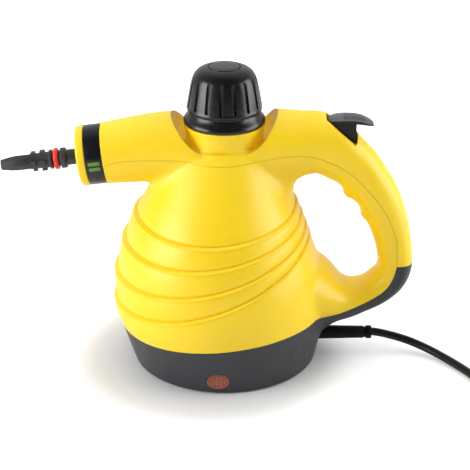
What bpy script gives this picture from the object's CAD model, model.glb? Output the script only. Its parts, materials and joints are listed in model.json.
"""Looks of the handheld steam cleaner: its shells, cap, nozzle, trigger, springs, cord and plug.

Metres, +Z up, in the frame that the CAD part gives. Reads only that frame.
"""

import json
import math

import bmesh
import bpy
import numpy as np
from mathutils import Matrix, Vector
from mathutils.bvhtree import BVHTree

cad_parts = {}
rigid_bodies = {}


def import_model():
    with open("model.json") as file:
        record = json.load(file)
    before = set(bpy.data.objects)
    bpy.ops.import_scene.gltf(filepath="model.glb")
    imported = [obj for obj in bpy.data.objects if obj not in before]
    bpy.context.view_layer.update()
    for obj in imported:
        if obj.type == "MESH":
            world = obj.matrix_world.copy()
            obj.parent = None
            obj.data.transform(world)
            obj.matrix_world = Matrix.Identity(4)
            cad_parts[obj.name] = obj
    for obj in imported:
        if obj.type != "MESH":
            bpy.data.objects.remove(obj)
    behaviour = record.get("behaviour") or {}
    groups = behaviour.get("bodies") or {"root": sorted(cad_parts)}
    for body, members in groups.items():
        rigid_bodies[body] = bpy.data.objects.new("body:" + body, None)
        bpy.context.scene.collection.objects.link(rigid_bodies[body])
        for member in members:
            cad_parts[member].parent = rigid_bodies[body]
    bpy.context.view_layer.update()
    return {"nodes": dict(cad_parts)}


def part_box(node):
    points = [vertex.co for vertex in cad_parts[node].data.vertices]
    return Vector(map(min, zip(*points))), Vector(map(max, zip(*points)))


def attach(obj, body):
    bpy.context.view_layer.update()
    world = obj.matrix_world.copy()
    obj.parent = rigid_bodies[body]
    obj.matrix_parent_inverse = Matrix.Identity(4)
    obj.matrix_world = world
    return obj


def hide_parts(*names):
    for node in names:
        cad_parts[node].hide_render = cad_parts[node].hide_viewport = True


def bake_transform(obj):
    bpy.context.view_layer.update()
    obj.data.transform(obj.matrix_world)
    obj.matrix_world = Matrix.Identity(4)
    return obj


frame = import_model()
scene = bpy.context.scene

# Camera, as the photo was taken: from the front, a little above, with a long lens
eye = bpy.data.cameras.new("camera")
eye.lens = 114.9
eye.sensor_width = 36.0
eye.clip_end = 20.0
camera = bpy.data.objects.new("camera", eye)
camera.location = (0.01896, -0.9978, 0.5623)
camera.rotation_euler = (math.radians(64.875), 0, 0)
scene.collection.objects.link(camera)
scene.camera = camera


# Cord, its hank, its strap and its plug. The cord is one curve through the CAD cord's own points
# and replaces both of its solids; the strap and the plug are moulded rubber.
def ranged(nodes, start, end, least=0.0, most=1.0):
    """A shader node that carries values between start and end over to least and most."""
    node = nodes.new("ShaderNodeMapRange")
    values = {"From Min": start, "From Max": end, "To Min": least, "To Max": most}
    for socket, value in values.items():
        node.inputs[socket].default_value = value
    return node


def moulded(name, pale, deep, rough, grain, bump, edge=0.0, **sockets):
    """A plastic, rubber or metal with mottled colour and roughness, a fine grain and soft edges.

    The colour drifts between pale and deep, the roughness between the two values of rough. Grain
    is the scale of the surface's fine relief, bump its height, and edge the radius of soft edges.
    """
    mottle_scale, wear_scale = 45.0, 160.0
    look = bpy.data.materials.new(name)
    look.use_nodes = True
    nodes, links = look.node_tree.nodes, look.node_tree.links
    shader = nodes["Principled BSDF"]
    where = nodes.new("ShaderNodeTexCoord").outputs["Object"]

    def noise(scale, detail):
        node = nodes.new("ShaderNodeTexNoise")
        node.inputs["Scale"].default_value = scale
        node.inputs["Detail"].default_value = detail
        links.new(where, node.inputs["Vector"])
        return node.outputs["Fac"]

    tint = nodes.new("ShaderNodeValToRGB")
    tint.color_ramp.elements[0].position = 0.35
    tint.color_ramp.elements[0].color = (*deep, 1)
    tint.color_ramp.elements[1].position = 0.65
    tint.color_ramp.elements[1].color = (*pale, 1)
    links.new(noise(mottle_scale, 3.0), tint.inputs["Fac"])
    links.new(tint.outputs["Color"], shader.inputs["Base Color"])
    wear = ranged(nodes, 0.3, 0.7, *rough)
    links.new(noise(wear_scale, 4.0), wear.inputs["Value"])
    links.new(wear.outputs["Result"], shader.inputs["Roughness"])
    relief = nodes.new("ShaderNodeBump")
    relief.inputs["Strength"].default_value = 1.0
    relief.inputs["Distance"].default_value = bump
    links.new(noise(grain, 2.0), relief.inputs["Height"])
    if edge:
        soft = nodes.new("ShaderNodeBevel")
        soft.samples = 6
        soft.inputs["Radius"].default_value = edge
        links.new(soft.outputs["Normal"], relief.inputs["Normal"])
    links.new(relief.outputs["Normal"], shader.inputs["Normal"])
    for socket, value in sockets.items():
        shader.inputs[socket.replace("_", " ")].default_value = value
    return look


same_spot = 0.000001


def opened():
    """Puts the active piece in edit mode with all of it selected."""
    bpy.ops.object.mode_set(mode="EDIT")
    bpy.ops.mesh.select_all(action="SELECT")


def closed_again():
    """Ends edit mode."""
    bpy.ops.object.mode_set(mode="OBJECT")


def faced_out():
    """Turns all faces of the piece in edit mode outward."""
    bpy.ops.mesh.select_all(action="SELECT")
    bpy.ops.mesh.normals_make_consistent(inside=False)


def chosen(piece):
    """Makes a piece the only one selected, and the active one."""
    bpy.ops.object.select_all(action="DESELECT")
    piece.select_set(True)
    bpy.context.view_layer.objects.active = piece


def drawn_ring(name, profile, sides, place=None, closed=False):
    """A disc, or if closed a hoop, drawn out ring by ring along a profile of (radius, height).

    Place is where the finished piece goes, with its axis along Z before that.
    """
    bpy.ops.mesh.primitive_circle_add(
        vertices=sides,
        radius=profile[0][0],
        fill_type="NOTHING" if closed else "NGON",
        location=(0, 0, profile[0][1]),
    )
    piece = bpy.context.object
    piece.name = name
    bpy.ops.object.transform_apply()
    opened()
    rings = [*profile, profile[0]] if closed else profile
    for (radius, height), (next_radius, next_height) in zip(rings, rings[1:]):
        move = {"value": (0, 0, next_height - height)}
        bpy.ops.mesh.extrude_region_move(TRANSFORM_OT_translate=move)
        share = next_radius / radius
        bpy.ops.transform.resize(value=(share, share, 1), center_override=(0, 0, next_height))
    if closed:
        bpy.ops.mesh.select_all(action="SELECT")
        bpy.ops.mesh.remove_doubles(threshold=same_spot)
    faced_out()
    closed_again()
    if place is not None:
        piece.data.transform(place)
    return piece


def rounded_edges(piece, width, angle=30.0, segments=3):
    """Rounds a piece's sharp edges and shades it smooth.

    Corners that nearly touch are merged before the bevel, which they would stop, and those that the
    bevel brings together are merged after it.
    """
    nearly, brought_together = 0.00001, 0.000002
    chosen(piece)
    opened()
    bpy.ops.mesh.remove_doubles(threshold=nearly)
    closed_again()
    bevel = piece.modifiers.new("round", "BEVEL")
    bevel.width = width
    bevel.segments = segments
    bevel.limit_method = "ANGLE"
    bevel.angle_limit = math.radians(angle)
    bevel.harden_normals = False
    bpy.ops.object.modifier_apply(modifier="round")
    opened()
    bpy.ops.mesh.remove_doubles(threshold=brought_together)
    bpy.ops.mesh.fill_holes(sides=0)
    closed_again()
    bpy.ops.object.shade_smooth_by_angle(angle=math.radians(40))
    return piece


axis_x = 0.011476
gland_start, gland_end = axis_x + 0.0590, axis_x + 0.11050
gland_z = 0.0135
cord_radius = 0.0030
route = [(0.0159, -0.0012, 0.011), (0.0279, -0.0039, 0.0082), (0.0395, -0.0097, 0.0056)]
route += [(0.0505, -0.0194, 0.004), (0.0608, -0.0321, 0.0034), (0.0698, -0.046, 0.0034)]
route += [(0.0767, -0.06, 0.0036), (0.0813, -0.074, 0.004)]
hank_middle = Vector((gland_end + 0.1275, -0.100, 0))
hank_outer, turn_pitch, layer_pitch = 0.0441, 0.0074, 0.0071
turns, climb_turns, layers = 2.5, 0.5, 4
plug_radius = 0.0186
first_layer_height = 0.0048
hank = []
steps_a_turn = 48
steps = round((layers * (turns + climb_turns) - climb_turns) * steps_a_turn)
for k in range(steps + 1):
    at = k / steps_a_turn
    layer = min(int(at // (turns + climb_turns)), layers - 1)
    into = at - layer * (turns + climb_turns)
    climb = max(0.0, into - turns) / climb_turns
    climb = climb * climb * (3 - 2 * climb)
    share = min(into, turns) / turns
    share = share if layer % 2 == 0 else 1 - share
    radius = hank_outer - turns * turn_pitch * share
    angle = math.pi + 2 * math.pi * at
    rise = first_layer_height + layer_pitch * (layer + climb)
    hank.append(hank_middle + Vector((radius * math.cos(angle), radius * math.sin(angle), rise)))
plug_lead, lead_steps = 0.046, 8
drop = plug_radius + 0.0003 - hank[-1].z
lead = []
for k in range(1, lead_steps + 1):
    along = k / lead_steps
    lead.append(hank[-1] + Vector((0, plug_lead * along, drop * along * along * (3 - 2 * along))))
lead.append(lead[-1] + Vector((0, 2 * cord_radius, 0)))
free = [Vector((gland_start - 0.0006, 0, gland_z)), Vector((gland_start + 0.026, 0, gland_z))]
free += [Vector((gland_end + 0.003, 0, gland_z))]
free += [Vector((gland_end + x, y, z)) for x, y, z in route]
free.append(hank[0] + Vector((0, 4 * cord_radius, 0)))


def smooth(points, spacing):
    """A smooth line through rows of numbers, read at even spacing."""
    spots = np.array(points, float)
    chord = np.r_[0, np.cumsum(np.linalg.norm(np.diff(spots[:, :3], axis=0), axis=1))]
    slopes = np.gradient(spots, chord, axis=0)
    reads = np.linspace(0, chord[-1], max(3, round(chord[-1] / spacing) + 1))
    k = np.clip(np.searchsorted(chord, reads, side="right") - 1, 0, len(chord) - 2)
    span = (chord[k + 1] - chord[k])[:, None]
    t = (reads - chord[k])[:, None] / span
    return (
        (2 * t**3 - 3 * t**2 + 1) * spots[k]
        + (t**3 - 2 * t**2 + t) * span * slopes[k]
        + (3 * t**2 - 2 * t**3) * spots[k + 1]
        + (t**3 - t**2) * span * slopes[k + 1]
    )


free = [Vector(p) for p in smooth(free, 0.004)]
line = [*free, *hank, *lead]
curve = bpy.data.curves.new("flex", "CURVE")
curve.dimensions = "3D"
curve.bevel_depth = cord_radius
curve.bevel_resolution = 4
curve.use_fill_caps = True
spline = curve.splines.new("POLY")
spline.points.add(len(line) - 1)
for spot, point in zip(spline.points, line):
    spot.co = (*point, 1)
spline.use_smooth = True
flex = bpy.data.objects.new("flex", curve)
scene.collection.objects.link(flex)
cord_rubber = moulded(
    "cord_rubber",
    (0.007, 0.007, 0.008),
    (0.005, 0.005, 0.006),
    (0.30, 0.44),
    2400.0,
    0.00003,
    Specular_IOR_Level=0.35,
)
curve.materials.append(cord_rubber)
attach(flex, "housing")
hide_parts("cord", "cord_coil")

# Plug: a round rubber body with a ribbed neck that the cord enters, and two round brass pins
plug_start = lead[-1].y - 0.008 + 0.0003
plug_profile = [(0.0053, 0.0), (0.0058, 0.0035), (0.006, 0.0075), (0.0052, 0.0078)]
plug_profile += [(0.0052, 0.0092), (0.0064, 0.0095), (0.0072, 0.0145), (0.0088, 0.0195)]
plug_profile += [(0.012, 0.0235), (0.016, 0.0268), (0.0184, 0.03), (0.0184, 0.052), (0.017, 0.053)]
plug_place = Matrix.Translation((lead[-1].x, plug_start, lead[-1].z))
plug_place = plug_place @ Matrix.Rotation(-math.pi / 2, 4, "X")
plug = rounded_edges(drawn_ring("plug", plug_profile, 56, plug_place), 0.0006, 35)
plug_rubber = moulded(
    "plug_rubber", (0.016, 0.016, 0.017), (0.010, 0.010, 0.011), (0.4, 0.55), 1800.0, 0.00004
)
plug.data.materials.append(plug_rubber)
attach(plug, "housing")
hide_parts("plug_body")
pin_brass = moulded(
    "pin_brass", (0.80, 0.76, 0.66), (0.66, 0.62, 0.52), (0.16, 0.3), 900.0, 0.00001, Metallic=1.0
)
pin_spacing = 0.019
pin_profile = [(0.0024, 0.0535), (0.0024, 0.0715), (0.0021, 0.0722), (0.0012, 0.0725)]
for number, side in ((1, -1), (2, 1)):
    place = plug_place @ Matrix.Translation((side * pin_spacing / 2, 0, 0.0))
    pin = rounded_edges(drawn_ring(f"prong_{number}", pin_profile, 24, place), 0.0002, 35)
    pin.data.materials.append(pin_brass)
    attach(pin, "housing")
    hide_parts(f"plug_pin_{number}")
# Strap: a rubber band squared round the hank, as large as the CAD one
strap_low, strap_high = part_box("cord_tie")
strap_size = strap_high - strap_low
bpy.ops.mesh.primitive_cube_add(size=1, location=(strap_low + strap_high) / 2, scale=strap_size)
strap = bpy.context.object
strap.name = "strap"
bpy.ops.object.transform_apply()
opened()
strap_mesh = bmesh.from_edit_mesh(strap.data)
for face in strap_mesh.faces:
    face.select = abs(face.normal.x) > 0.5
bmesh.update_edit_mesh(strap.data)
bpy.ops.mesh.inset(thickness=0.0008, depth=0)
bpy.ops.mesh.bridge_edge_loops()
faced_out()
closed_again()
corner = strap.modifiers.new("corner", "BEVEL")
corner.width = 0.0003
corner.segments = 2
bpy.ops.object.modifier_apply(modifier="corner")
bpy.ops.object.shade_smooth_by_angle(angle=math.radians(40))
tie_black = moulded(
    "tie_black", (0.022, 0.022, 0.023), (0.014, 0.014, 0.015), (0.35, 0.5), 1500.0, 0.00003
)
strap.data.materials.append(tie_black)
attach(strap, "housing")
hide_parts("cord_tie")


# Casing: the two yellow shells and the grey base, moulded in plastic and screwed together. One
# solid is swept and lofted through sections like the CAD casing's, its joins are rounded, and it is
# hollowed and parted along the seams. Rows are shares of the sizes: reach, height, half widths.
reach, top, barrel, widest, shift = 0.1386, 0.190, 0.0216, 0.077, 0.0047
step_out, sag = 0.0026, 0.0055
arch_wall, tank_wall = 0.0028, 0.0046
fine_step, coarse_step = 0.0022, 0.008
arch_sizes = (reach, top, barrel, barrel)
arch_rows = [(-0.618, 0.839, 1.000, 1.000), (-0.325, 0.866, 1.12, 1.12)]
arch_rows += [(-0.159, 0.873, 1.139, 1.204), (0.000, 0.875, 1.139, 1.227)]
arch_rows += [(0.303, 0.88, 1.11, 1.083), (0.404, 0.8835, 1.04, 0.972)]
arch_rows += [(0.476, 0.886, 1.005, 0.898), (0.548, 0.867, 0.96, 0.852)]
arch_rows += [(0.62, 0.826, 0.852, 0.815), (0.685, 0.782, 0.806, 0.787)]
arch_rows += [(0.743, 0.729, 0.759, 0.778), (0.796, 0.672, 0.722, 0.764)]
arch_rows += [(0.835, 0.611, 0.694, 0.755), (0.867, 0.547, 0.657, 0.741)]
arch_rows += [(0.902, 0.432, 0.597, 0.75), (0.908, 0.384, 0.588, 0.764), (0.885, 0.328, 0.58, 0.77)]
arch_rows += [(0.828, 0.283, 0.56, 0.8), (0.751, 0.249, 0.53, 0.85), (0.671, 0.234, 0.59, 0.96)]
arch_rows += [(0.6, 0.235, 0.76, 1.13), (0.535, 0.248, 0.96, 1.34), (0.47, 0.268, 1.12, 1.56)]
arch_rows += [(0.39, 0.29, 1.28, 1.78)]
root_rows = [(0.238, 0.642, 0.787, 0.65), (0.26, 0.705, 0.671, 0.69), (0.303, 0.768, 0.532, 0.74)]
root_rows += [(0.375, 0.811, 0.532, 0.79), (0.462, 0.832, 0.556, 0.79)]
flare_rows = [(0.4, 0.047, 0.69, 0.62), (0.4, 0.079, 0.75, 0.68), (0.4, 0.103, 0.9, 0.76)]
flare_rows += [(0.4, 0.124, 1.1, 0.82), (0.4, 0.142, 1.42, 0.84), (0.4, 0.165, 1.8, 0.82)]
grips = [(0.663, 0.694), (0.760, 0.600), (0.825, 0.512)]
cone = [(0.000, 0.883), (0.158, 0.974), (0.211, 0.99), (0.263, 0.994), (0.316, 0.983)]
cone += [(0.368, 0.964), (0.421, 0.935), (0.474, 0.899), (0.526, 0.856), (0.579, 0.805)]
cone += [(0.632, 0.747), (0.684, 0.681), (0.737, 0.606), (0.789, 0.539), (0.832, 0.481)]
cone += [(0.863, 0.429), (0.884, 0.39), (0.911, 0.357)]
lean = [(0.0, 0.0), (0.21, 0.6), (0.32, 1.0), (0.63, 1.0), (0.79, 0.6), (0.90, 0.0)]
depth = [(0.0, 1.0), (0.32, 1.04), (0.74, 1.04), (0.90, 1.0)]
# Tiers: height at the axis, slope along X, sag at the front, and the profile of their beads
ridges = [(0.631, 0.047, 1.0), (0.558, 0.131, 1.05), (0.4795, 0.234, 1.15), (0.408, 0.331, 1.25)]
bead = [(0.012, 0.00), (0.005, -0.08), (0.003, -0.16), (0.0016, -0.34), (0.0004, -0.36)]
bead += [(-0.0006, -0.2), (-0.0016, 0.1), (-0.0026, 0.38), (-0.004, 0.58), (-0.0058, 0.68)]
bead += [(-0.0078, 0.66), (-0.0094, 0.54), (-0.011, 0.44), (-0.013, 0.4), (-0.018, 0.42)]
bead += [(-0.028, 0.46)]
rows = [(0.908, 0, 0, 0), (0.89, 0, 0, 0), (0.865, 0, 0, 0), (0.84, 0, 0, 0)]
rows += [(0.8, 0.007, 0.1, 0), (0.77, 0.014, 0.2, 0), (0.747, 0.02, 0.3, 0)]
rows += [(0.718, 0.027, 0.5, 0), (0.69, 0.035, 0.7, 0), (0.663, 0.041, 0.85, -0.1)]
for height, slope, dip in ridges:
    rows += [(height + rise, slope, dip, out) for rise, out in bead]
rows += [(0.34, 0.29, 1.12, 0.62), (0.305, 0.25, 1.0, 0.45), (0.268, 0.21, 0.75, 0.28)]
rows += [(0.232, 0.17, 0.5, 0.1), (0.195, 0.137, 0.25, 0.04), (0.158, 0.105, 0, 0)]
rows += [(0.137, 0.088, 0, 0), (0.116, 0.07, 0, 0), (0.085, 0.045, 0, 0), (0.053, 0.02, 0, 0)]
rows += [(0.03, 0.01, 0, 0), (0.0012 / top, 0, 0, 0)]


def fine(table):
    """A table of two columns, read smoothly at many places."""
    at, value = np.array(table).T
    slopes = np.gradient(value, at)
    reads = np.linspace(at[0], at[-1], 300)
    k = np.clip(np.searchsorted(at, reads, side="right") - 1, 0, len(at) - 2)
    span = at[k + 1] - at[k]
    t = (reads - at[k]) / span
    blend = (2 * t**3 - 3 * t**2 + 1) * value[k] + (3 * t**2 - 2 * t**3) * value[k + 1]
    return reads, blend + span * ((t**3 - 2 * t**2 + t) * slopes[k] + (t**3 - t**2) * slopes[k + 1])


cone_fine, lean_fine, depth_fine = fine(cone), fine(lean), fine(depth)


def housing_ring(row, sides, inset=0.0):
    """One ring of the tank, tilted along X and sagging at its front and back, from its row."""
    height, slope, dip, out = row
    angle = 2 * math.pi * np.arange(sides) / sides
    c, s = np.cos(angle), np.sin(angle)
    z = np.full(sides, height * top)
    for _ in range(14):
        radius = widest * np.interp(z / top, *cone_fine) + out * step_out * (1 - 0.3 * c) - inset
        x = radius * c - shift * np.interp(z / top, *lean_fine)
        z = height * top + slope * x - dip * sag * s * s
    return np.stack([x, radius * s * np.interp(z / top, *depth_fine), z], 1)


def squarish(sides):
    """The rim of a squarish round section one unit in half width, as two rows of numbers."""
    angle = 2 * math.pi * np.arange(sides) / sides
    return [np.sign(share) * np.abs(share) ** (2 / 2.2) for share in (np.cos(angle), np.sin(angle))]


def swept(shares, sides, spacing, inset=0.0, overrun=0.0):
    """Squarish round sections square to a line in side view."""
    read = smooth([(x, z, 0, t, w) for x, z, t, w in np.array(shares) * arch_sizes], spacing)
    along = np.gradient(read[:, :2], axis=0)
    along /= np.linalg.norm(along, axis=1)[:, None]
    read[0, :2] -= overrun * along[0]
    out, side = squarish(sides)
    rings = []
    for (x, z, _, thick, wide), (run, rise) in zip(read, along):
        away = out * (thick - inset)
        rings.append(np.stack([x - rise * away, side * (wide - inset), z + run * away], 1))
    return rings


def lofted(name, rings):
    """A closed skin through rings of points."""
    mesh = bpy.data.meshes.new(name)
    count = len(rings[0])
    faces = []
    for k in range(len(rings) - 1):
        for i in range(count):
            j = (i + 1) % count
            faces.append((k * count + i, k * count + j, (k + 1) * count + j, (k + 1) * count + i))
    faces += [tuple(range(count)), tuple(range((len(rings) - 1) * count, len(rings) * count))]
    mesh.from_pydata([tuple(p) for ring in rings for p in ring], [], faces)
    bm = bmesh.new()
    bm.from_mesh(mesh)
    bmesh.ops.recalc_face_normals(bm, faces=bm.faces)
    bm.to_mesh(mesh)
    bm.free()
    piece = bpy.data.objects.new(name, mesh)
    scene.collection.objects.link(piece)
    return piece


def slab(name, outline, half_width, middle=0.0):
    """A flat outline in side view, given a width across."""
    near = [(x, middle - half_width, z) for x, z in outline]
    far = [(x, middle + half_width, z) for x, z in outline]
    return lofted(name, [near, far])


def combined(piece, operation, *others):
    """Joins or cuts a piece by others, which are then removed."""
    chosen(piece)
    for other in others:
        boolean = piece.modifiers.new("boolean", "BOOLEAN")
        boolean.solver = "EXACT"
        boolean.operation = operation
        boolean.object = other
        bpy.ops.object.modifier_apply(modifier="boolean")
        bpy.data.objects.remove(other, do_unlink=True)
    return piece


def copied(piece, name):
    """A second piece with a mesh of its own."""
    other = bpy.data.objects.new(name, piece.data.copy())
    scene.collection.objects.link(other)
    return other


# Skin is the barrel and arch handle in one; the cup stands in a moat cut from it and from the tank
skin = lofted("skin", swept(arch_rows, 72, fine_step))
housing = lofted("housing", [housing_ring(row, 168) for row in rows])
moat_rows = [(0.0283, 0.1674), (0.03, 0.1678), (0.0325, 0.1698), (0.035, 0.1735), (0.0372, 0.179)]
moat_rows += [(0.038, 0.185), (0.038, 0.23)]
for shape in (skin, housing):
    combined(shape, "DIFFERENCE", drawn_ring("moat", moat_rows, 120))
root = lofted("root", swept(root_rows, 56, fine_step))
flare_out, flare_side = squarish(56)
flare_read = smooth([(0, z, 0, x, a, b) for x, z, a, b in np.array(flare_rows) * arch_sizes], 0.002)
flare_rings = []
for _, z, _, x, a, b in flare_read:
    flare_rings.append(np.stack([x + flare_out * a, flare_side * b, np.full(len(flare_out), z)], 1))
flare = lofted("flare", flare_rings)
cup_rows = [(0.0262, 0.16), (0.0262, 0.1665), (0.0268, 0.1715), (0.0279, 0.177), (0.0292, 0.1837)]
cup = drawn_ring("cup", cup_rows, 120)
# Each shape goes with the reach of the rounding where it joins those before it
shapes = [(skin, 0.0), (housing, 0.009), (root, 0.018), (flare, 0.018), (cup, 0.006)]
for x, z in grips:
    bpy.ops.mesh.primitive_uv_sphere_add(
        segments=32,
        ring_count=20,
        radius=1,
        location=(x * reach, 0, z * top),
        rotation=(math.pi / 2, 0, 0),
    )
    rest = bpy.context.object
    rest.scale = (0.0065, 0.0065, 0.0115)
    bpy.ops.object.transform_apply()
    shapes.append((rest, 0.008))


def nearest(piece):
    """A reader of how far points lie outside a piece, and of its smoothed way out there."""
    deepest_inside, on_surface, least = 0.0015, 0.00005, 1e-9
    mesh = piece.data.copy()
    bm = bmesh.new()
    bm.from_mesh(mesh)
    bmesh.ops.triangulate(bm, faces=bm.faces)
    bm.normal_update()
    tree = BVHTree.FromBMesh(bm)
    corners = np.array([[v.index for v in f.verts] for f in bm.faces])
    spots = np.array([v.co for v in bm.verts])
    normals = np.array([v.normal for v in bm.verts])
    bm.free()
    bpy.data.meshes.remove(mesh)

    def read(points):
        found = [tree.find_nearest(Vector(p)) for p in points]
        spot = np.array([f[0] for f in found])
        flat = np.array([f[1] for f in found])
        three = corners[[f[2] for f in found]]
        a, b, c = spots[three[:, 0]], spots[three[:, 1]], spots[three[:, 2]]
        area = np.cross(b - a, c - a)
        whole = np.maximum((area**2).sum(1), 1e-30)
        v = (np.cross(spot - a, c - a) * area).sum(1) / whole
        w = (np.cross(b - a, spot - a) * area).sum(1) / whole
        share = np.clip(np.stack([1 - v - w, v, w], 1), 0, 1)
        smooth_normal = (normals[three] * share[:, :, None]).sum(1)
        smooth_normal /= np.maximum(np.linalg.norm(smooth_normal, axis=1), least)[:, None]
        away = points - spot
        distance = np.linalg.norm(away, axis=1)
        inside = ((away * flat).sum(1) < 0) & (distance < deepest_inside)
        sign = np.where(inside, -1.0, 1.0)
        direction = away * (sign / np.maximum(distance, least))[:, None]
        direction = np.where(distance[:, None] > on_surface, direction, smooth_normal)
        return distance * sign, direction

    return read


readers = [(nearest(piece), rounding) for piece, rounding in shapes]


def blended(points):
    """How far points lie outside the casing with its joins rounded, and the way out."""
    value, way = readers[0][0](points)
    for reader, rounding in readers[1:]:
        other, other_way = reader(points)
        room = rounding * np.clip(1 - (way * other_way).sum(1), 0.02, 1)
        h = np.clip(0.5 + 0.5 * (other - value) / room, 0, 1)
        value = other * (1 - h) + value * h - room * h * (1 - h)
        way = other_way * (1 - h)[:, None] + way * h[:, None]
    return value, way


# The shapes are joined, and the corners of the join are drawn onto the rounded surface
combined(skin, "UNION", *[piece for piece, _ in shapes[1:]])
near_enough, was_moved, speck = 0.00002, 0.0001, 0.00004
points = np.array([v.co for v in skin.data.vertices])
moved = np.zeros(len(points))
active = np.arange(len(points))
for _ in range(4):
    value, way = blended(points[active])
    size = np.maximum((way**2).sum(1), 0.25)
    points[active] -= way * (value / size)[:, None]
    moved[active] += np.abs(value)
    active = active[np.abs(value) > near_enough]
    if not len(active):
        break
for vertex, spot in zip(skin.data.vertices, points):
    vertex.co = spot
bm = bmesh.new()
bm.from_mesh(skin.data)
bm.verts.ensure_lookup_table()
soft = [bm.verts[int(k)] for k in np.nonzero(moved > was_moved)[0]]
for _ in range(6):
    bmesh.ops.smooth_vert(
        bm, verts=soft, factor=0.5, use_axis_x=True, use_axis_y=True, use_axis_z=True
    )
bmesh.ops.dissolve_degenerate(bm, edges=bm.edges, dist=speck)
bm.to_mesh(skin.data)
bm.free()

# Hollow: the inside of the arch and the tank, but for a guard of plastic kept under the moat. The
# cup is bored for the filler, the arch notched and slotted for the trigger, and the base pierced
# for the gland and the lamp.
hollow = lofted("hollow", swept(arch_rows, 24, coarse_step, arch_wall, 0.004))
guard_radius, guard_floor = 0.0406, 0.1648
guard = drawn_ring("guard", [(guard_radius, guard_floor), (guard_radius, 0.23)], 48)
combined(hollow, "DIFFERENCE", guard)
inner_heights = (0.866, 0.832, 0.74, 0.632, 0.474, 0.316, 0.16, 0.074, 0.021)
inner = [housing_ring((height, 0, 0, 0), 48, tank_wall) for height in inner_heights]
inner.append(inner[-1] * (1, 1, 0) - (0, 0, 0.004))
inside = lofted("inside", inner)
cup_bore = 0.0240
bore = drawn_ring("bore", [(cup_bore, 0.142), (cup_bore, 0.195)], 64)
root_hollow = lofted("root_hollow", swept(root_rows, 16, coarse_step, arch_wall))
combined(hollow, "UNION", root_hollow, inside, bore)
pin_x, pin_z, long = reach * 0.5195, top * 0.921, 0.0348
notch_rows = [(-0.3, 0.62), (0.585, -0.158), (0.635, -0.13), (0.64, 1.195), (-0.3, 1.195)]
notch = slab("notch", [(pin_x + x * long, pin_z + z * long) for x, z in notch_rows], 0.08)
slot_front, slot_back, slot_floor = pin_x + 0.0002, pin_x + 0.647 * long, pin_z - 0.241 * long
slot_top, slot_half = 0.194, 0.0081
slot_corners = [(slot_front, slot_floor), (slot_back, slot_floor), (slot_back, slot_top)]
slot = slab("slot", [*slot_corners, (slot_front, slot_top)], slot_half)
gland_place = Matrix.Translation((0, 0, gland_z)) @ Matrix.Rotation(math.pi / 2, 4, "Y")
gland_bore = 0.0055
gland_hole = drawn_ring("gland_hole", [(gland_bore, 0.058), (gland_bore, 0.112)], 40, gland_place)
lamp_x, lamp_z, lamp_half, lamp_rise, lamp_play = -0.0045, 0.0122, 0.0080, 0.0057, 0.0006


def rod(sides, middle, radius=1, length=1, scale=(1, 1, 1)):
    """A round or oval rod lying along Y."""
    bpy.ops.mesh.primitive_cylinder_add(
        vertices=sides, radius=radius, depth=length, location=middle, rotation=(math.pi / 2, 0, 0)
    )
    piece = bpy.context.object
    piece.scale = scale
    bpy.ops.object.transform_apply()
    return piece


lamp_size = (lamp_half + lamp_play, lamp_rise + lamp_play, 0.0385)
lamp_hole = rod(64, (lamp_x, -0.077, lamp_z), scale=lamp_size)
combined(skin, "DIFFERENCE", hollow, notch, slot, gland_hole, lamp_hole)

# Seams: the upper one between the yellow shells, the lower one over the grey base and its heel.
# A hair's gap is left along them.
upper_line = [(-0.794, 0.815), (-0.7, 0.821), (-0.62, 0.832), (-0.55, 0.845), (-0.49, 0.853)]
upper_line += [(-0.418, 0.857), (-0.32, 0.859), (-0.247, 0.859), (-0.19, 0.857), (-0.132, 0.855)]
upper_line += [(-0.03, 0.8545), (0.08, 0.855), (0.16, 0.8575), (0.215, 0.862), (0.26, 0.867)]
upper_line += [(0.31, 0.87), (0.37, 0.87), (0.44, 0.863), (0.548, 0.834), (0.635, 0.795)]
upper_line += [(0.732, 0.726), (0.811, 0.653), (0.869, 0.574), (0.9, 0.5), (0.906, 0.4)]
lower_line = [(0.906, 0.397), (0.89, 0.35), (0.873, 0.324), (0.835, 0.291), (0.794, 0.27)]
lower_line += [(0.75, 0.252), (0.711, 0.24), (0.668, 0.229), (0.584, 0.2155), (0.519, 0.213)]
lower_line += [(0.452, 0.2165), (0.332, 0.221), (0.216, 0.219), (0.094, 0.2145), (-0.043, 0.206)]
lower_line += [(-0.18, 0.196), (-0.303, 0.186), (-0.556, 0.165), (-0.794, 0.146)]
gap = 0.00006
upper_read = smooth([(x * reach, z * top, 0) for x, z in upper_line], 0.002)[:, :2]
lower_read = smooth([(x * reach, z * top, 0) for x, z in lower_line], 0.002)[:, :2]
tail_x, tail_z, far, tall = 1.06 * reach, 0.392 * top, 2 * reach, 2 * top
over = [(x + gap, z + gap) for x, z in upper_read]
over += [(tail_x, tail_z + gap), (far, tail_z + gap), (far, tall), (-far, tall)]
over.append((-far, over[0][1]))
between = [(x - gap, z - gap) for x, z in upper_read] + [(x - gap, z + gap) for x, z in lower_read]
between += [(-far, between[-1][1]), (-far, between[0][1])]
under = [(x + gap, z - gap) for x, z in lower_read[::-1]]
under += [(tail_x, tail_z - gap), (far, tail_z - gap), (far, -top), (-far, -top)]
under.append((-far, under[0][1]))
yellow = moulded(
    "yellow_plastic",
    (0.920, 0.645, 0.012),
    (0.910, 0.632, 0.010),
    (0.36, 0.42),
    1300.0,
    0.00001,
    edge=0.0007,
    Subsurface_Weight=0.12,
    Subsurface_Scale=0.002,
    Subsurface_Radius=(1.0, 0.5, 0.06),
)
grey = moulded(
    "grey_plastic",
    (0.026, 0.028, 0.035),
    (0.023, 0.024, 0.030),
    (0.38, 0.48),
    1500.0,
    0.00003,
    edge=0.0006,
)
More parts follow.
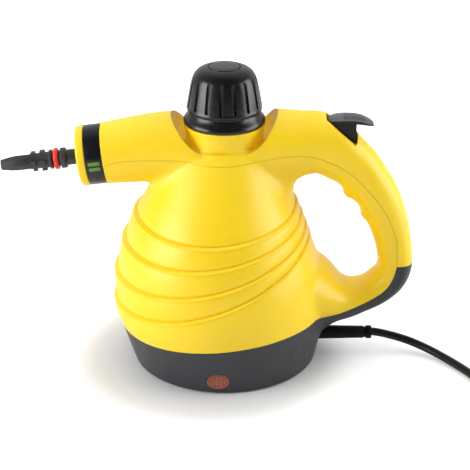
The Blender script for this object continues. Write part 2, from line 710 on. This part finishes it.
for name, node, outline, look, kind in (
    ("upper_casing", "upper_shell", over, yellow, "yellow_plastic"),
    ("lower_casing", "lower_shell", between, yellow, "yellow_plastic"),
    ("base_casing", "base_shell", under, grey, "grey_plastic"),
):
    piece = slab(name, outline, 0.16)
    combined(piece, "INTERSECT", copied(skin, name + "_skin"))
    opened()
    bpy.ops.mesh.remove_doubles(threshold=same_spot)
    bpy.ops.mesh.quads_convert_to_tris(quad_method="BEAUTY", ngon_method="BEAUTY")
    # The cuts can leave loose flaps and slivers: only the shell that reaches out widest stays
    parted = bmesh.from_edit_mesh(piece.data)
    for _ in range(2):
        flaps = [face for face in parted.faces if sum(edge.is_boundary for edge in face.edges) > 1]
        bmesh.ops.delete(parted, geom=flaps, context="FACES")
    bpy.ops.mesh.select_all(action="DESELECT")
    max(parted.verts, key=lambda vert: abs(vert.co.y)).select_set(True)
    bmesh.update_edit_mesh(piece.data)
    bpy.ops.mesh.select_linked()
    bpy.ops.mesh.select_all(action="INVERT")
    bpy.ops.mesh.delete(type="VERT")
    closed_again()
    piece.data.transform(Matrix.Translation((axis_x, 0, 0)))
    bpy.ops.object.shade_smooth_by_angle(angle=math.radians(38))
    piece.data.materials.clear()
    piece.data.materials.append(look)
    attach(piece, "housing")
    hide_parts(node)
bpy.data.objects.remove(skin, do_unlink=True)

# Barrel end: the black lock ring with its two green marks, and the yellow bezel ahead of it. All
# are turned rings pushed onto the barrel's mouth; the marks are slugs let into the ring.
tilt = math.atan2(top * (0.866 - 0.839), reach * (0.618 - 0.325))
mouth = Vector((axis_x - 0.618 * reach, 0, 0.839 * top))
on_barrel = Matrix.Translation(mouth) @ Matrix.Rotation(-math.pi / 2 - tilt, 4, "Y")
black = moulded(
    "black_plastic",
    (0.008, 0.008, 0.010),
    (0.005, 0.005, 0.007),
    (0.22, 0.30),
    1400.0,
    0.00001,
    edge=0.0004,
)
ring_rows = [(0.015, 0.0003), (0.0216, 0.0003), (0.0216, 0.0123), (0.015, 0.0123)]
ring = drawn_ring("ring", ring_rows, 112, on_barrel, True)
rounded_edges(ring, 0.0003, 50)
ring.data.materials.append(black)
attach(ring, "housing")
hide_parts("lock_ring")
mark_green = moulded(
    "green_print", (0.120, 0.290, 0.028), (0.085, 0.220, 0.018), (0.3, 0.4), 1200.0, 0.00001
)
mark_size = (0.0026, 0.0014, 0.0082)
for number, turn in ((1, 2), (2, -9)):
    bpy.ops.mesh.primitive_cube_add(size=1, location=(0, -0.0211, 0.0063), scale=mark_size)
    mark = bpy.context.object
    mark.name = f"mark_{number}"
    bpy.ops.object.transform_apply()
    opened()
    mark_mesh = bmesh.from_edit_mesh(mark.data)
    for edge in mark_mesh.edges:
        edge.select = abs((edge.verts[0].co - edge.verts[1].co).normalized().y) > 0.9
    bmesh.update_edit_mesh(mark.data)
    bpy.ops.mesh.bevel(offset=0.0009, segments=5, affect="EDGES")
    closed_again()
    mark.data.transform(on_barrel @ Matrix.Rotation(math.radians(turn), 4, "Z"))
    rounded_edges(mark, 0.00012, 50, 2)
    mark.data.materials.append(mark_green)
    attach(mark, "housing")
    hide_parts(f"lock_mark_{number}")
bezel_profile = [(0.011, 0.0126), (0.0216, 0.0126), (0.0216, 0.0168), (0.0214, 0.0176)]
bezel_profile += [(0.0209, 0.0182), (0.0201, 0.0184), (0.0118, 0.0184), (0.0112, 0.0181)]
bezel_profile += [(0.011, 0.0175)]
bezel = drawn_ring("bezel", bezel_profile, 112, on_barrel, True)
rounded_edges(bezel, 0.0002, 60)
bezel.data.materials.append(yellow)
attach(bezel, "housing")
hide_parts("front_bezel")

# Nozzle: a black spigot fixed in the barrel, a red silicone ring, and the jet that twists on it.
# Turned pieces; the jet has two rows of four bayonet lugs and an eight-sided tip.
nozzle_black = moulded(
    "nozzle_black",
    (0.040, 0.040, 0.043),
    (0.030, 0.030, 0.033),
    (0.34, 0.46),
    1600.0,
    0.00004,
    edge=0.0003,
)
spigot_profile = [(0.0021, -0.018), (0.0056, -0.018), (0.0056, -0.004), (0.0182, -0.004)]
spigot_profile += [(0.0182, -0.001), (0.0056, -0.001), (0.0056, 0.0274), (0.0072, 0.0279)]
spigot_profile += [(0.0074, 0.0285), (0.0074, 0.0316), (0.0056, 0.032), (0.0056, 0.0369)]
spigot_profile += [(0.0038, 0.0369), (0.0038, 0.0474), (0.0021, 0.0474)]
spigot = drawn_ring("spigot", spigot_profile, 56, on_barrel, True)
rounded_edges(spigot, 0.0002, 40, 2)
spigot.data.materials.append(nozzle_black)
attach(spigot, "housing")
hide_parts("nozzle_spigot")
seal_rows = [(0.0058, 0.0333), (0.0066, 0.0333), (0.0073, 0.0336), (0.0078, 0.0343)]
seal_rows += [(0.0078, 0.0357), (0.0073, 0.0364), (0.0066, 0.0367), (0.0058, 0.0367)]
seal = drawn_ring("seal", seal_rows, 64, on_barrel, True)
rounded_edges(seal, 0.0001, 60, 2)
red_silicone = moulded(
    "red_silicone", (0.80, 0.045, 0.022), (0.70, 0.030, 0.016), (0.3, 0.42), 900.0, 0.00002
)
seal.data.materials.append(red_silicone)
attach(seal, "housing")
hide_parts("nozzle_seal")
jet_start = 0.0375
jet_rows = [(0.0012, 0.0378), (0.0012, 0.0102), (0.0041, 0.0102), (0.0041, 0.0), (0.0062, 0.0)]
jet_rows += [(0.007, 0.0006), (0.007, 0.0022), (0.0058, 0.0026), (0.0055, 0.0152), (0.0058, 0.0158)]
jet_rows += [(0.0058, 0.0165), (0.003, 0.0168), (0.003, 0.0378)]
jet = drawn_ring("jet", [(r, jet_start + z) for r, z in jet_rows], 56, None, True)
tip_rows = [(0.0052, 0.0162), (0.0057, 0.0168), (0.0057, 0.0262), (0.0053, 0.0305)]
tip_rows += [(0.0039, 0.0378)]
tip = drawn_ring("tip", [(r, jet_start + z) for r, z in tip_rows], 8)
drill = drawn_ring("drill", [(0.0012, jet_start + 0.015), (0.0012, jet_start + 0.041)], 24)
combined(tip, "DIFFERENCE", drill)
lugs = []
lug_depth, lug_width = 0.0032, 0.0042
for start, length, outer in ((0.0052, 0.0036, 0.0074), (0.0122, 0.0030, 0.0070)):
    for quarter in range(4):
        bpy.ops.mesh.primitive_cube_add(
            size=1,
            location=(outer - lug_depth / 2, 0, jet_start + start + length / 2),
            scale=(lug_depth, lug_width, length),
        )
        lug = bpy.context.object
        bpy.ops.object.transform_apply()
        lug.data.transform(Matrix.Rotation(math.pi / 2 * quarter, 4, "Z"))
        lugs.append(lug)
combined(jet, "UNION", tip, *lugs)
jet.data.transform(on_barrel)
rounded_edges(jet, 0.00025, 40, 2)
jet.data.materials.append(nozzle_black)
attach(jet, "jet")
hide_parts("jet_nozzle")

# Safety cap: black, waisted over its skirt, with sixteen round-ended flutes and a sunk disc on top.
# Drawn out as one ring piece and cut by the flutes.
rim = 0.1805
on_axis = Matrix.Translation((axis_x, 0, 0))
cap_rows = [(0.0083, 0.037), (0.0083, 0.0195), (0.011, 0.0195), (0.0115, 0.036), (0.0205, 0.029)]
cap_rows += [(0.0226, 0.011), (0.0262, 0.0042), (0.0284, 0.0036), (0.029, 0.0039), (0.0292, 0.0045)]
cap_rows += [(0.0291, 0.0056), (0.0287, 0.0065), (0.0279, 0.0076), (0.027, 0.0088), (0.0262, 0.01)]
cap_rows += [(0.0256, 0.0112), (0.0253, 0.0122), (0.0254, 0.0128), (0.0259, 0.0132)]
cap_rows += [(0.0265, 0.0135), (0.0268, 0.0139), (0.0269, 0.0145), (0.0268, 0.0151)]
cap_rows += [(0.0266, 0.0156), (0.0264, 0.017), (0.0256, 0.0215), (0.0247, 0.0265)]
cap_rows += [(0.0238, 0.0312), (0.023, 0.0346), (0.0222, 0.0368), (0.0211, 0.0388)]
cap_rows += [(0.0196, 0.0405), (0.0178, 0.0418), (0.0158, 0.0427), (0.0138, 0.0433)]
cap_rows += [(0.0121, 0.0437), (0.0116, 0.0437), (0.0114, 0.0428), (0.011, 0.0428)]
cap_rows += [(0.0108, 0.0439), (0.01, 0.0441), (0.006, 0.0443)]
cap = drawn_ring("cap", [(r, rim + z) for r, z in cap_rows], 128)
flute_count, first_flute = 16, math.radians(-5.5)
flute_low, flute_high = (0.0259, rim + 0.0160), (0.0222, rim + 0.0385)
flute_rows = [(0.0005, 0.0), (0.001, 0.0003), (0.0013, 0.0008), (0.0014, 0.0014), (0.0014, 0.0206)]
flute_rows += [(0.0013, 0.0213), (0.001, 0.0219), (0.0005, 0.0222)]
flutes = []
for k in range(flute_count):
    turn = first_flute + 2 * math.pi * k / flute_count
    low_end, high_end = (
        Vector((radius * math.cos(turn), radius * math.sin(turn), height))
        for radius, height in (flute_low, flute_high)
    )
    upwards = (high_end - low_end).to_track_quat("Z", "Y").to_matrix().to_4x4()
    place = Matrix.Translation(low_end) @ upwards
    flutes.append(drawn_ring(f"flute_{k}", flute_rows, 16, place))
chosen(flutes[0])
for flute in flutes[1:]:
    flute.select_set(True)
bpy.ops.object.join()
combined(cap, "DIFFERENCE", flutes[0])
cap.data.transform(on_axis)
bpy.ops.object.shade_smooth_by_angle(angle=math.radians(35))
cap.data.materials.append(black)
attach(cap, "cap")
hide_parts("safety_cap")

# Trigger: a crowned black thumb plate with eight fine ribs across it, on a leg that dives into its
# notch. The plate is a skin through sections, and the leg a flat outline given a width. It turns on
# the pin. What faces up is rubbed by the thumb to a paler grey.
trigger_black = moulded(
    "trigger_black",
    (0.008, 0.008, 0.010),
    (0.005, 0.005, 0.006),
    (0.30, 0.40),
    1500.0,
    0.00003,
    edge=0.0003,
    Specular_IOR_Level=0.30,
)
nodes, links = trigger_black.node_tree.nodes, trigger_black.node_tree.links
upward = ranged(nodes, 0.35, 0.95)
facing = nodes.new("ShaderNodeSeparateXYZ")
links.new(nodes.new("ShaderNodeTexCoord").outputs["Normal"], facing.inputs["Vector"])
links.new(facing.outputs["Z"], upward.inputs["Value"])
rubbed = nodes.new("ShaderNodeMix")
rubbed.data_type = "RGBA"
rubbed.inputs["B"].default_value = (0.105, 0.106, 0.112, 1)
links.new(upward.outputs["Result"], rubbed.inputs["Factor"])
base = nodes["Principled BSDF"].inputs["Base Color"]
links.new(base.links[0].from_socket, rubbed.inputs["A"])
links.new(rubbed.outputs["Result"], base)
plate_rows = [(0.03, 0.27, 0.282, 0.29, 0.26), (0.06, 0.267, 0.3, 0.318, 0.58)]
plate_rows += [(0.115, 0.266, 0.316, 0.346, 0.8), (0.18, 0.266, 0.327, 0.364, 0.92)]
plate_rows += [(0.259, 0.266, 0.335, 0.378, 1.00), (0.46, 0.262, 0.342, 0.39, 1.00)]
plate_rows += [(0.661, 0.25, 0.325, 0.375, 0.98), (0.805, 0.228, 0.28, 0.325, 0.92)]
plate_rows += [(0.92, 0.2, 0.225, 0.262, 0.76), (0.975, 0.18, 0.195, 0.212, 0.5)]
plate_read = smooth([(a * long, 0, 0, u, e, c, w) for a, u, e, c, w in plate_rows], 0.0003)
plate_half, plate_points = 0.0087, 25
rib_start, rib_end, rib_pitch, rib_depth = 0.0122, 0.0278, 0.00195, 0.0008
across = np.linspace(-1, 1, plate_points)
plate_rings = []
for along, _, _, under_share, edge_share, crown_share, wide_share in plate_read:
    half = wide_share * plate_half
    rib = 0.0
    if rib_start < along < rib_end:
        rib = rib_depth * (math.cos(2 * math.pi * (along - rib_start) / rib_pitch) - 1) / 2
    crown = edge_share + (crown_share - edge_share) * (1 - across**2)
    height = pin_z + crown * long + rib * np.clip(5 - 5.5 * np.abs(across), 0, 1)
    upper = np.stack([np.full(plate_points, pin_x + along), across * half, height], 1)
    under = pin_z + under_share * long
    shoulder = pin_z + (under_share * 0.75 + edge_share * 0.25) * long
    lower = np.array(
        [
            (pin_x + along, half * 0.985, shoulder),
            (pin_x + along, half * 0.90, under),
            (pin_x + along, -half * 0.90, under),
            (pin_x + along, -half * 0.985, shoulder),
        ]
    )
    plate_rings.append(np.concatenate([upper, lower]))
plate = lofted("plate", plate_rings)
leg_rows = [(0.1, 0.285), (0.4, 0.29), (0.615, 0.272), (0.609, -0.195), (0.244, -0.195)]
leg_rows += [(0.063, -0.09), (-0.06, -0.06), (-0.086, 0.03), (0.06, 0.272)]
trigger = slab("lever", [(pin_x + x * long, pin_z + z * long) for x, z in leg_rows], 0.0075)
boss = rod(40, (pin_x, 0, pin_z), 0.0042, 0.0148)
pin_hole = rod(32, (pin_x, 0, pin_z), 0.0016, 0.03)
combined(trigger, "UNION", plate, boss)
combined(trigger, "DIFFERENCE", pin_hole)
trigger.data.transform(on_axis)
bpy.ops.object.shade_smooth_by_angle(angle=math.radians(45))
trigger.data.materials.append(trigger_black)
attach(trigger, "trigger")
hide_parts("trigger")

# Lamp lens: an oval of red-brown clear plastic pressed into the base's front. It is a cylinder
# squashed to the hole with its front drawn in to a soft edge, and a grid of small pyramid prisms
# stands on that front.
lens_low, lens_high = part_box("lamp_lens")
lens_middle = (lens_low + lens_high) / 2
prism_rise, prism_pitch = 0.0008, 0.0019
lens = rod(72, lens_middle, scale=(lamp_half, lamp_rise, lens_high.y - lens_low.y))
lens.name = "lens"
opened()
lens_mesh = bmesh.from_edit_mesh(lens.data)
for face in lens_mesh.faces:
    face.select = face.normal.y < -0.9
bmesh.update_edit_mesh(lens.data)
bpy.ops.mesh.inset(thickness=0.0005, depth=0)
bpy.ops.mesh.inset(thickness=0.0002, depth=-prism_rise)
closed_again()
prism_columns, prism_rows = 8, 6
bpy.ops.mesh.primitive_grid_add(
    x_subdivisions=prism_columns,
    y_subdivisions=prism_rows,
    size=1,
    location=(lens_middle.x, lens_low.y + prism_rise, lens_middle.z),
    rotation=(math.pi / 2, 0, 0),
)
prisms = bpy.context.object
prisms.scale = (prism_columns * prism_pitch, prism_rows * prism_pitch, 1)
bpy.ops.object.transform_apply()
opened()
bpy.ops.mesh.extrude_region_move(TRANSFORM_OT_translate={"value": (0, 0.0004, 0)})
faced_out()
lens_mesh = bmesh.from_edit_mesh(prisms.data)
for face in lens_mesh.faces:
    face.select = face.normal.y < -0.9
bmesh.update_edit_mesh(prisms.data)
bpy.ops.mesh.poke(offset=prism_rise)
closed_again()
lens_border = 0.0006
field = rod(72, lens_middle, scale=(lamp_half - lens_border, lamp_rise - lens_border, 0.02))
combined(prisms, "INTERSECT", field)
combined(lens, "UNION", prisms)
lamp_lens = moulded(
    "lamp_lens",
    (0.380, 0.115, 0.065),
    (0.200, 0.045, 0.025),
    (0.10, 0.18),
    900.0,
    0.00001,
    Coat_Weight=0.6,
)
lens.data.materials.append(lamp_lens)
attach(lens, "housing")
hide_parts("lamp_lens")

# Cord gland: a black rubber sleeve clamped in the base by its flange, with a groove before its lip.
gland_rows = [(0.0033, 0.059), (0.0076, 0.059), (0.0076, 0.0625), (0.0052, 0.0625), (0.0052, 0.072)]
gland_rows += [(0.0046, 0.1046), (0.0041, 0.1047), (0.0041, 0.1062), (0.0049, 0.1064)]
gland_rows += [(0.005, 0.1068), (0.005, 0.1098), (0.0047, 0.1105), (0.0033, 0.1105)]
gland = drawn_ring("gland", gland_rows, 56, on_axis @ gland_place, True)
rounded_edges(gland, 0.0003, 40, 2)
gland_rubber = moulded(
    "rubber",
    (0.005, 0.005, 0.006),
    (0.003, 0.003, 0.004),
    (0.40, 0.55),
    1500.0,
    0.00005,
    Specular_IOR_Level=0.20,
)
gland.data.materials.append(gland_rubber)
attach(gland, "housing")
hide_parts("strain_relief")

# Springs: round steel wire wound three times, one round the valve plunger and one in the cap's
# valve. The wire's end is swung round by a screw modifier; each shortens between its two seats. The
# headroom lets the trigger's arm tilt over the plunger's spring.
steel = moulded(
    "steel", (0.62, 0.62, 0.63), (0.52, 0.52, 0.54), (0.2, 0.34), 1200.0, 0.00001, Metallic=1.0
)
spring_turns = 3
for node, lower_body, upper_body, wire, headroom in (
    ("trigger_spring", "housing", "plunger", 0.00045, 0.0007),
    ("relief_spring", "relief", "cap", 0.00040, 0.0),
):
    spring_low, spring_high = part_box(node)
    spring_middle = (spring_low + spring_high) / 2
    coil_radius = (spring_high.y - spring_low.y) / 2 - wire
    spring_top = spring_high.z - headroom
    bpy.ops.mesh.primitive_circle_add(
        vertices=16, radius=wire, location=(coil_radius, 0, 0), rotation=(math.pi / 2, 0, 0)
    )
    spring = bpy.context.object
    spring.name = f"{node}_coil"
    bpy.ops.object.transform_apply()
    winding = spring.modifiers.new("winding", "SCREW")
    winding.iterations = spring_turns
    winding.steps = 40
    winding.screw_offset = (spring_top - spring_low.z - 2 * wire) / spring_turns
    bpy.ops.object.modifier_apply(modifier="winding")
    bpy.ops.transform.translate(value=(spring_middle.x, spring_middle.y, spring_low.z + wire))
    bpy.ops.object.transform_apply()
    opened()
    bpy.ops.mesh.fill_holes(sides=0)
    faced_out()
    closed_again()
    bpy.ops.object.shade_smooth_by_angle(angle=math.radians(45))
    spring.data.materials.append(steel)
    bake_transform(spring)
    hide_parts(node)

# Pieces that stay as the CAD part made them, mostly inside: each takes a finish of its own
dull, fair, satin, metal = (0.4, 0.55), (0.4, 0.5), (0.35, 0.5), {"Metallic": 1.0}
inner = moulded("inner_plastic", (0.60, 0.58, 0.54), (0.52, 0.50, 0.46), dull, 900.0, 0.00003)
dark = moulded("dark_plastic", (0.024, 0.024, 0.026), (0.016, 0.016, 0.018), fair, 900.0, 0.00003)
aluminium_tones = (0.70, 0.70, 0.71), (0.58, 0.58, 0.60)
aluminium = moulded("boiler_aluminium", *aluminium_tones, (0.3, 0.45), 700.0, 0.00005, **metal)
brass_tones = (0.78, 0.58, 0.26), (0.66, 0.47, 0.19)
brass = moulded("brass", *brass_tones, (0.22, 0.36), 1000.0, 0.00002, **metal)
seal_tones = (0.45, 0.09, 0.05), (0.36, 0.06, 0.04)
red_seal = moulded("seal_silicone", *seal_tones, (0.5, 0.62), 800.0, 0.00003)
hose = moulded("hose_silicone", (0.72, 0.71, 0.67), (0.62, 0.61, 0.57), dull, 700.0, 0.00003)
heater_tones = (0.34, 0.30, 0.28), (0.22, 0.19, 0.18)
heater_metal = moulded("heater_metal", *heater_tones, (0.4, 0.6), 800.0, 0.00004, **metal)
ceramic = moulded("ceramic", (0.74, 0.72, 0.67), (0.64, 0.62, 0.57), (0.3, 0.42), 800.0, 0.00002)
brown_wire = moulded("wire_brown", (0.16, 0.07, 0.03), (0.12, 0.05, 0.02), satin, 900.0, 0.00002)
blue_wire = moulded("wire_blue", (0.03, 0.09, 0.38), (0.02, 0.07, 0.30), satin, 900.0, 0.00002)
red_wire = moulded("wire_red", (0.45, 0.03, 0.02), (0.36, 0.02, 0.02), satin, 900.0, 0.00002)
four = range(1, 5)
for look, *names in (
    (gland_rubber, *[f"foot_{k}" for k in four]),
    (steel, *[f"{place}_screw_{k}" for place in ("base", "boiler") for k in four]),
    (steel, "trigger_pin", "relief_poppet", "valve_plunger"),
    (inner, "trigger_bracket", "terminal_block", "lamp_body"),
    (dark, "bottom_plate", "funnel_ring"),
    (aluminium, "boiler_lower", "boiler_upper"),
    (brass, "cap_core", "relief_screw", "steam_valve"),
    (red_seal, "boiler_gasket", "cap_seal"),
    (hose, "steam_feed_pipe", "steam_outlet_pipe"),
    (heater_metal, "heating_element", "thermal_fuse"),
    (ceramic, "thermostat"),
    (brown_wire, "wire_live"),
    (blue_wire, "wire_neutral"),
    (red_wire, "wire_lamp"),
):
    for name in names:
        for place in frame["nodes"][name].material_slots:
            place.material = look

# Floor and light: white paper that keeps the soft shadow and is paler to the camera away from it,
# wide soft lamps at both sides, one overhead, and a backdrop that is bright behind the object
bpy.ops.mesh.primitive_plane_add(size=8, location=(0, 0, 0))
floor = bpy.context.object
floor.name = "floor"
paper = bpy.data.materials.new("paper")
paper.use_nodes = True
nodes, links = paper.node_tree.nodes, paper.node_tree.links
nodes.clear()
path = nodes.new("ShaderNodeLightPath")
matt = nodes.new("ShaderNodeBsdfDiffuse")
matt.inputs["Color"].default_value = (0.78, 0.78, 0.78, 1)
glow = nodes.new("ShaderNodeEmission")
away = nodes.new("ShaderNodeVectorMath")
away.operation = "DISTANCE"
away.inputs[1].default_value = (-0.002, -0.012, 0)
links.new(nodes.new("ShaderNodeTexCoord").outputs["Object"], away.inputs[0])
# Round the object the camera sees the lit paper, further out a paler glow, and far off plain white
fade = ranged(nodes, 0.078, 0.116, 0.0, 0.35)
fade.interpolation_type = "SMOOTHSTEP"
distant = ranged(nodes, 0.3, 1.3, 0.0, 0.65)
brighter = nodes.new("ShaderNodeMath")
lift = nodes.new("ShaderNodeMath")
lift.operation = "MULTIPLY"
both = nodes.new("ShaderNodeAddShader")
out = nodes.new("ShaderNodeOutputMaterial")
for start, output, end, socket in (
    (away, "Value", fade, "Value"),
    (away, "Value", distant, "Value"),
    (fade, "Result", brighter, 0),
    (distant, "Result", brighter, 1),
    (path, "Is Camera Ray", lift, 0),
    (brighter, "Value", lift, 1),
    (lift, "Value", glow, "Strength"),
    (matt, "BSDF", both, 0),
    (glow, "Emission", both, 1),
    (both, "Shader", out, "Surface"),
):
    links.new(start.outputs[output], end.inputs[socket])
floor.data.materials.append(paper)
world = bpy.data.worlds.new("world")
world.use_nodes = True
nodes, links = world.node_tree.nodes, world.node_tree.links
path = nodes.new("ShaderNodeLightPath")
way = nodes.new("ShaderNodeSeparateXYZ")
links.new(nodes.new("ShaderNodeTexCoord").outputs["Generated"], way.inputs["Vector"])
level = ranged(nodes, -0.2, 0.8, 0.05, 0.75)
links.new(way.outputs["Y"], level.inputs["Value"])
seen = nodes.new("ShaderNodeMath")
seen.operation = "MAXIMUM"
links.new(path.outputs["Is Camera Ray"], seen.inputs[0])
links.new(level.outputs["Result"], seen.inputs[1])
links.new(seen.outputs["Value"], nodes["Background"].inputs["Strength"])
nodes["Background"].inputs["Color"].default_value = (1, 1, 1, 1)
scene.world = world
scene.view_settings.view_transform = "Standard"
for name, spot, aim, wide, power in (
    ("left_lamp", (-1.40, -0.60, 0.42), (0, 0, 0.1), 1.1, 26.0),
    ("right_lamp", (1.40, -0.10, 0.38), (0, 0, 0.1), 1.1, 18.0),
    ("top_lamp", (0.0, 0.4, 1.6), (0, 0.4, 0), 3.0, 38.0),
):
    lamp = bpy.data.lights.new(name, "AREA")
    lamp.shape = "SQUARE"
    lamp.size = wide
    lamp.energy = power
    light = bpy.data.objects.new(name, lamp)
    light.location = spot
    light.rotation_euler = (Vector(aim) - Vector(spot)).to_track_quat("-Z", "Y").to_euler()
    light.visible_glossy = name != "top_lamp"
    scene.collection.objects.link(light)
